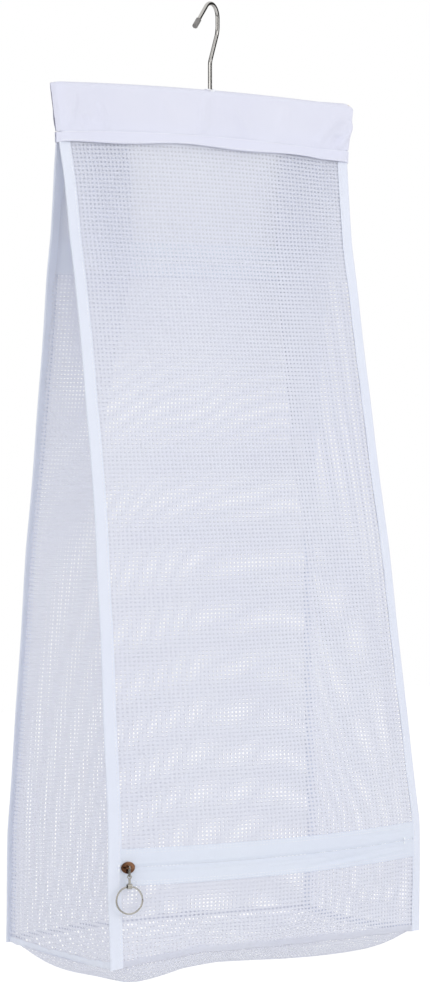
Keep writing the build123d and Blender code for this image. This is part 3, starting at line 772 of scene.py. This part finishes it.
def make_corner_bindings():
    top, end = HEM_END - 5.0, CORNER + 1.5
    flat_width = 2 * BINDING_W + 1.2
    for side, depth_word in ((FRONT, "front"), (BACK, "back")):
        for hand, word in ((LEFT, "left"), (RIGHT, "right")):
            name = f"corner_binding_{depth_word}_{word}"
            bm = flat_cloth(flat_width, end - top, 1.15, 4.0)
            place = binding_place(side, hand, top)
            piece = sew(bm, name, place, binding_white, "binding")
            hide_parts(f"binding_{depth_word}_{word}")
            rows = bmesh.new()
            down = np.arange(6.0, end - top - 2.0, 3.0)
            leaf = BINDING_W - 1.9
            leaves = [place(np.full_like(down, hand * leaf), down),
                      place(np.full_like(down, -hand * leaf), down)]
            line = max(leaves, key=lambda points: (points[:, 1] * side).mean())
            line[:, 1] += side * 0.12
            stitch_row(rows, line)
            finish_piece(rows, f"binding_stitches_{depth_word}_{word}",
                         thread_white, "bag", "thread")


def make_bottom_bindings():
    """Narrow turned hems where the bottom is sewn to the front, back and gussets."""
    for side, word in ((FRONT, "front"), (BACK, "back")):
        def across(x, down, side=side):
            depth = np.full_like(x, CORNER)
            world_x = at(LEAN, depth) + x
            rise, out = folded(down - 7.0, 6.0)
            point = on_face(world_x, depth, side, 0.6)
            crumple = 0.7 * np.sin(world_x / 8.3 + np.sin(world_x / 29.0))
            point[:, 1] += side * (out * 0.9 + 0.4 * crumple)
            point[:, 2] += rise - 1.8 + 0.5 * crumple
            return point
        place = across if side == FRONT else mirrored(across)
        bm = flat_cloth(364.0, 14.0, 3.0, 1.0)
        piece = sew(bm, f"bottom_hem_{word}", place, net_white, "mesh")
        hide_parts(f"bottom_binding_{word}")
    for hand, word in ((LEFT, "left"), (RIGHT, "right")):
        def along(x, down, hand=hand):
            share = x / 91.0
            rise, out = folded(down - 7.0, 6.0)
            point = on_gusset(share * hand, np.full_like(x, CORNER), hand)
            crumple = 0.8 * np.sin(share * 23.0 + 2 * np.sin(share * 7.0))
            point[:, 0] += hand * (out * 0.9 + 0.5 * crumple)
            point[:, 2] += rise - 2.0 + 0.6 * crumple
            return point
        bm = flat_cloth(182.0, 14.0, 2.4, 1.0)
        piece = sew(bm, f"bottom_hem_{word}", along, binding_white, "binding")
        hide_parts(f"bottom_binding_{word}")


# ---------------------------------------------------------------- zips
FRONT_TAPE_CREASES = [
    ((30, 12.0), (150, 4.5), 1.5, -1.3), ((60, 13.5), (178, 8.5), 1.8, 1.3),
    ((40, -4.5), (178, -3.5), 1.5, 0.9), ((-20, 7.0), (90, 4.5), 1.3, 0.8),
    ((90, -12.0), (180, -8.5), 2.2, -1.1), ((100, 7.5), (184, 4.5), 1.4, 1.0),
]


TAPE_CUT = BAND - LIP_GAP
TAPE_LENGTH = {FRONT: 369.0, BACK: 325.0}


def tape_place(side, zip_depth, above):
    """A zip tape, from its stitched edge to the lip beside the teeth."""
    def place(x, down):
        v = down - BAND if above else LIP_GAP + down
        depth = zip_depth + v
        share = 2 * x / TAPE_LENGTH[side]
        world_x = at(LEAN, depth) + share * (inner_half_width(depth) + 1.5)
        lip = 0.7 * np.exp(-(np.abs(v) / 1.1) ** 2)
        ridge = 0.35 * np.exp(-((np.abs(v) - 3.4) / 0.9) ** 2)
        off = ridge - lip
        if side == FRONT:
            beside_slider = np.clip((np.abs(v) - 5.9) / 2.0, 0.0, 1.0)
            off = off + beside_slider * sum(crease(world_x, v, *c) for c in FRONT_TAPE_CREASES)
        else:
            off = off + 0.2 * np.sin(world_x / 13.0) * np.clip((np.abs(v) - 5) / 6, 0, 1)
        point = on_face(world_x, depth, side)
        point[:, 1] += side * off
        return point
    return place if side == FRONT else mirrored(place)


def make_tapes():
    for side, word, zip_depth in ((FRONT, "front", FRONT_ZIP), (BACK, "rear", REAR_ZIP)):
        rows = bmesh.new()
        for above, part in ((True, "upper"), (False, "lower")):
            bm = flat_cloth(TAPE_LENGTH[side], TAPE_CUT, 3.6, 0.85)
            place = tape_place(side, zip_depth, above)
            piece = sew(bm, f"{word}_tape_{part}", place, tape_white, "zip_tape")
            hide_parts(f"{word}_zip_tape_{part}")
            x = np.linspace(-0.49, 0.49, 200) * TAPE_LENGTH[side]
            for from_edge in (1.6, 4.2):
                down = from_edge if above else TAPE_CUT - from_edge
                line = place(x, np.full_like(x, down))
                line[:, 1] += side * 0.12
                stitch_row(rows, line)
        finish_piece(rows, f"{word}_zip_stitches", thread_white, "bag", "thread")


COIL_PITCH = 1.7


def make_coil(word, side, zip_depth):
    """Two rows of nylon coil inside the tapes, each one long spring of wire."""
    half = 176.0 if side == FRONT else 158.0
    turns = int(2 * half / COIL_PITCH)
    curve = bpy.data.curves.new(f"{word}_coil", "CURVE")
    curve.dimensions = "3D"
    curve.bevel_depth = 0.32 * MM
    curve.bevel_resolution = 1
    steps = 8
    for row in (-1, 1):
        angle = np.arange(turns * steps + 1) * 2 * math.pi / steps
        x = -half + angle / (2 * math.pi) * COIL_PITCH
        rise = row * (1.75 + 1.05 * np.cos(angle))
        depth = np.full_like(x, zip_depth)
        point = on_face(x, depth, side)
        point[:, 1] -= side * (1.75 + 0.5 * np.sin(angle))
        point[:, 2] += rise
        spline = curve.splines.new("POLY")
        spline.points.add(len(x) - 1)
        spline.points.foreach_set("co", np.c_[point * MM, np.ones(len(x))].ravel())
    curve.materials.append(coil_white)
    piece = bpy.data.objects.new(f"{word}_coil_wire", curve)
    bpy.context.scene.collection.objects.link(piece)
    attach(piece, "bag")
    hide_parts(f"{word}_zip_coil")


# ---------------------------------------------------------------- split rings
def make_split_ring(name, node, body, turn):
    """Key ring: two close turns of flattened spring wire."""
    low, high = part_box(node)
    centre = (low + high) / 2
    wire = 0.52 * MM
    radius = 12.95 * MM
    bm = bmesh.new()
    made = bmesh.ops.create_circle(bm, segments=10, radius=wire)
    ring = made["verts"]
    bmesh.ops.scale(bm, vec=(1.6, 1.0, 1.0), verts=ring)
    bmesh.ops.rotate(bm, cent=(0, 0, 0), matrix=Matrix.Rotation(math.pi / 2, 3, "X"), verts=ring)
    bmesh.ops.rotate(bm, cent=(0, 0, 0), matrix=Matrix.Rotation(math.pi, 3, "Z"), verts=ring)
    bmesh.ops.translate(bm, vec=(radius, -0.55 * MM, 0), verts=ring)
    steps = 150
    bmesh.ops.spin(bm, geom=bm.edges[:], cent=(0, 0, 0), axis=(0, 1, 0), angle=math.radians(700),
                   dvec=(0, 1.1 * MM / steps, 0), steps=steps, use_merge=False)
    ends = [e for e in bm.edges if e.is_boundary]
    bmesh.ops.holes_fill(bm, edges=ends, sides=0)
    bmesh.ops.recalc_face_normals(bm, faces=bm.faces)
    place = Matrix.Translation(centre) @ turn.to_matrix().to_4x4()
    bmesh.ops.transform(bm, matrix=place, verts=bm.verts)
    piece = finish_piece(bm, name, nickel, body, "bright_ring")
    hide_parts(node)


# ---------------------------------------------------------------- carried-over parts
CAD_FINISHES = {
    "hook": chrome, "hook_tip_sleeve": vinyl, "hook_washer": steel, "hanger_bar": lath,
    "bar_bush": brass, "front_zip_stops": enamel, "rear_zip_stops": enamel,
    "front_slider": bronze, "rear_slider": bronze, "front_jump_ring": nickel,
    "rear_jump_ring": nickel, "front_pull_link": nickel, "rear_pull_link": nickel,
}


def finish_cad_parts():
    for name, material in CAD_FINISHES.items():
        part = nodes[name]
        part.data.materials.clear()
        part.data.materials.append(material)


# ---------------------------------------------------------------- room, light and camera
FLOOR_SIZE = 9.0
FLOOR_LEVEL = -1.62     # a rail about 1.6 m up carries the bag
FLOOR_GLOW = 0.3        # seen by the camera only


def make_room():
    bm = bmesh.new()
    bmesh.ops.create_grid(bm, x_segments=2, y_segments=2, size=FLOOR_SIZE)
    bmesh.ops.translate(bm, vec=(0, 0, FLOOR_LEVEL), verts=bm.verts)
    mesh = bpy.data.meshes.new("floor")
    bm.to_mesh(mesh)
    bm.free()
    material, tree, out = start_material("pale floor")
    paint = add(tree, "ShaderNodeBsdfPrincipled")
    paint.inputs["Base Color"].default_value = (0.88, 0.88, 0.88, 1.0)
    paint.inputs["Roughness"].default_value = 0.9
    paint.inputs["Specular IOR Level"].default_value = 0.1
    glow = add(tree, "ShaderNodeEmission")
    path = add(tree, "ShaderNodeLightPath")
    seen = calculate(tree, "MULTIPLY", path.outputs["Is Camera Ray"], FLOOR_GLOW)
    tree.links.new(seen, glow.inputs["Strength"])
    both = add(tree, "ShaderNodeAddShader")
    tree.links.new(paint.outputs[0], both.inputs[0])
    tree.links.new(glow.outputs[0], both.inputs[1])
    tree.links.new(both.outputs[0], out.inputs["Surface"])
    mesh.materials.append(material)
    floor = bpy.data.objects.new("floor", mesh)
    bpy.context.scene.collection.objects.link(floor)


WORLD_LIGHT = 0.85      # on the object; the camera and polished metal see 1.0


def make_world():
    world = bpy.data.worlds.new("studio")
    bpy.context.scene.world = world
    world.use_nodes = True
    tree = world.node_tree
    tree.nodes.clear()
    out = add(tree, "ShaderNodeOutputWorld")
    path = add(tree, "ShaderNodeLightPath")
    seen = calculate(tree, "MAXIMUM", path.outputs["Is Camera Ray"], path.outputs["Is Glossy Ray"])
    seen = calculate(tree, "MAXIMUM", seen, path.outputs["Is Transmission Ray"])
    back = add(tree, "ShaderNodeBackground")
    extra = calculate(tree, "MULTIPLY", seen, 1.0 - WORLD_LIGHT)
    strength = calculate(tree, "ADD", extra, WORLD_LIGHT)
    tree.links.new(strength, back.inputs["Strength"])
    back.inputs["Color"].default_value = (1.0, 1.0, 1.0, 1.0)
    tree.links.new(back.outputs[0], out.inputs["Surface"])


def add_lamp(name, place, aim, size, power):
    lamp = bpy.data.lights.new(name, "AREA")
    lamp.shape = "RECTANGLE"
    lamp.size, lamp.size_y = size
    lamp.energy = power
    holder = bpy.data.objects.new(name, lamp)
    holder.location = place
    holder.rotation_euler = (Vector(aim) - Vector(place)).to_track_quat("-Z", "Y").to_euler()
    bpy.context.scene.collection.objects.link(holder)


def add_dark_flag(name, angle, distance, width):
    """A dark card beside the object that only polished metal mirrors."""
    bm = bmesh.new()
    bmesh.ops.create_grid(bm, x_segments=1, y_segments=1, size=0.5)
    bmesh.ops.scale(bm, vec=(width, 5.0, 1.0), verts=bm.verts)
    upright = Matrix.Rotation(math.pi / 2, 3, "X")
    bmesh.ops.rotate(bm, cent=(0, 0, 0), matrix=upright, verts=bm.verts)
    turn = Matrix.Rotation(angle, 3, "Z")
    bmesh.ops.translate(bm, vec=(0, -distance, -0.2), verts=bm.verts)
    bmesh.ops.rotate(bm, cent=(0, 0, 0), matrix=turn, verts=bm.verts)
    mesh = bpy.data.meshes.new(name)
    bm.to_mesh(mesh)
    bm.free()
    material, tree, out = start_material("black card")
    paint = add(tree, "ShaderNodeBsdfPrincipled")
    paint.inputs["Base Color"].default_value = (0.02, 0.02, 0.02, 1.0)
    tree.links.new(paint.outputs[0], out.inputs["Surface"])
    mesh.materials.append(material)
    card = bpy.data.objects.new(name, mesh)
    card.visible_camera = False
    card.visible_diffuse = False
    card.visible_shadow = False
    card.visible_transmission = False
    bpy.context.scene.collection.objects.link(card)


VIEW_ANGLE = math.radians(-36)
VIEW_DISTANCE = 3.240
EYE_LEVEL = -0.4246
LENS = 118.74           # mm, on a 36 mm long side
LOOK_RIGHT = math.radians(0.0884)
LOOK_DOWN = math.radians(1.0613)


def make_camera():
    camera = bpy.data.cameras.new("camera")
    camera.sensor_width = 36.0
    camera.lens = LENS
    camera.clip_end = 60.0
    holder = bpy.data.objects.new("camera", camera)
    back = Vector((math.sin(VIEW_ANGLE), -math.cos(VIEW_ANGLE), 0.0))
    right = Vector((math.cos(VIEW_ANGLE), math.sin(VIEW_ANGLE), 0.0))
    holder.location = back * VIEW_DISTANCE + Vector((0, 0, EYE_LEVEL))
    aim = -back + right * math.tan(LOOK_RIGHT)
    aim.z = -math.tan(LOOK_DOWN)
    holder.rotation_euler = aim.to_track_quat("-Z", "Y").to_euler()
    bpy.context.scene.collection.objects.link(holder)
    bpy.context.scene.camera = holder


make_camera()
make_room()
make_world()
add_lamp("key", (1.5, -3.2, 0.9), (0, 0, -0.45), (2.2, 2.2), 46.0)
add_lamp("fill", (-3.4, -1.2, 0.4), (0, 0, -0.5), (2.0, 2.4), 26.0)
for word, degrees, distance, width in (("left", -132, 2.6, 5.4), ("right", 60, 2.6, 5.4),
                                       ("front", -36, 4.6, 3.6)):
    add_dark_flag(f"dark_flag_{word}", math.radians(degrees), distance, width)

finish_cad_parts()
make_sleeve()
make_hems()
make_eyelet()
make_faces()
make_gussets()
make_bottom()
make_corner_bindings()
make_bottom_bindings()
make_tapes()
make_coil("front", FRONT, FRONT_ZIP)
make_coil("rear", BACK, REAR_ZIP)
make_split_ring("front_split_ring", "front_pull_ring", "front_pull_ring",
                Euler((0.0, 0.0, math.radians(-16.488))))
make_split_ring("rear_split_ring", "rear_pull_ring", "rear_pull_ring",
                Euler((math.radians(11.434), 0.0, math.radians(180.0))))

bpy.context.scene.view_settings.view_transform = "Standard"
bpy.context.view_layer.update()
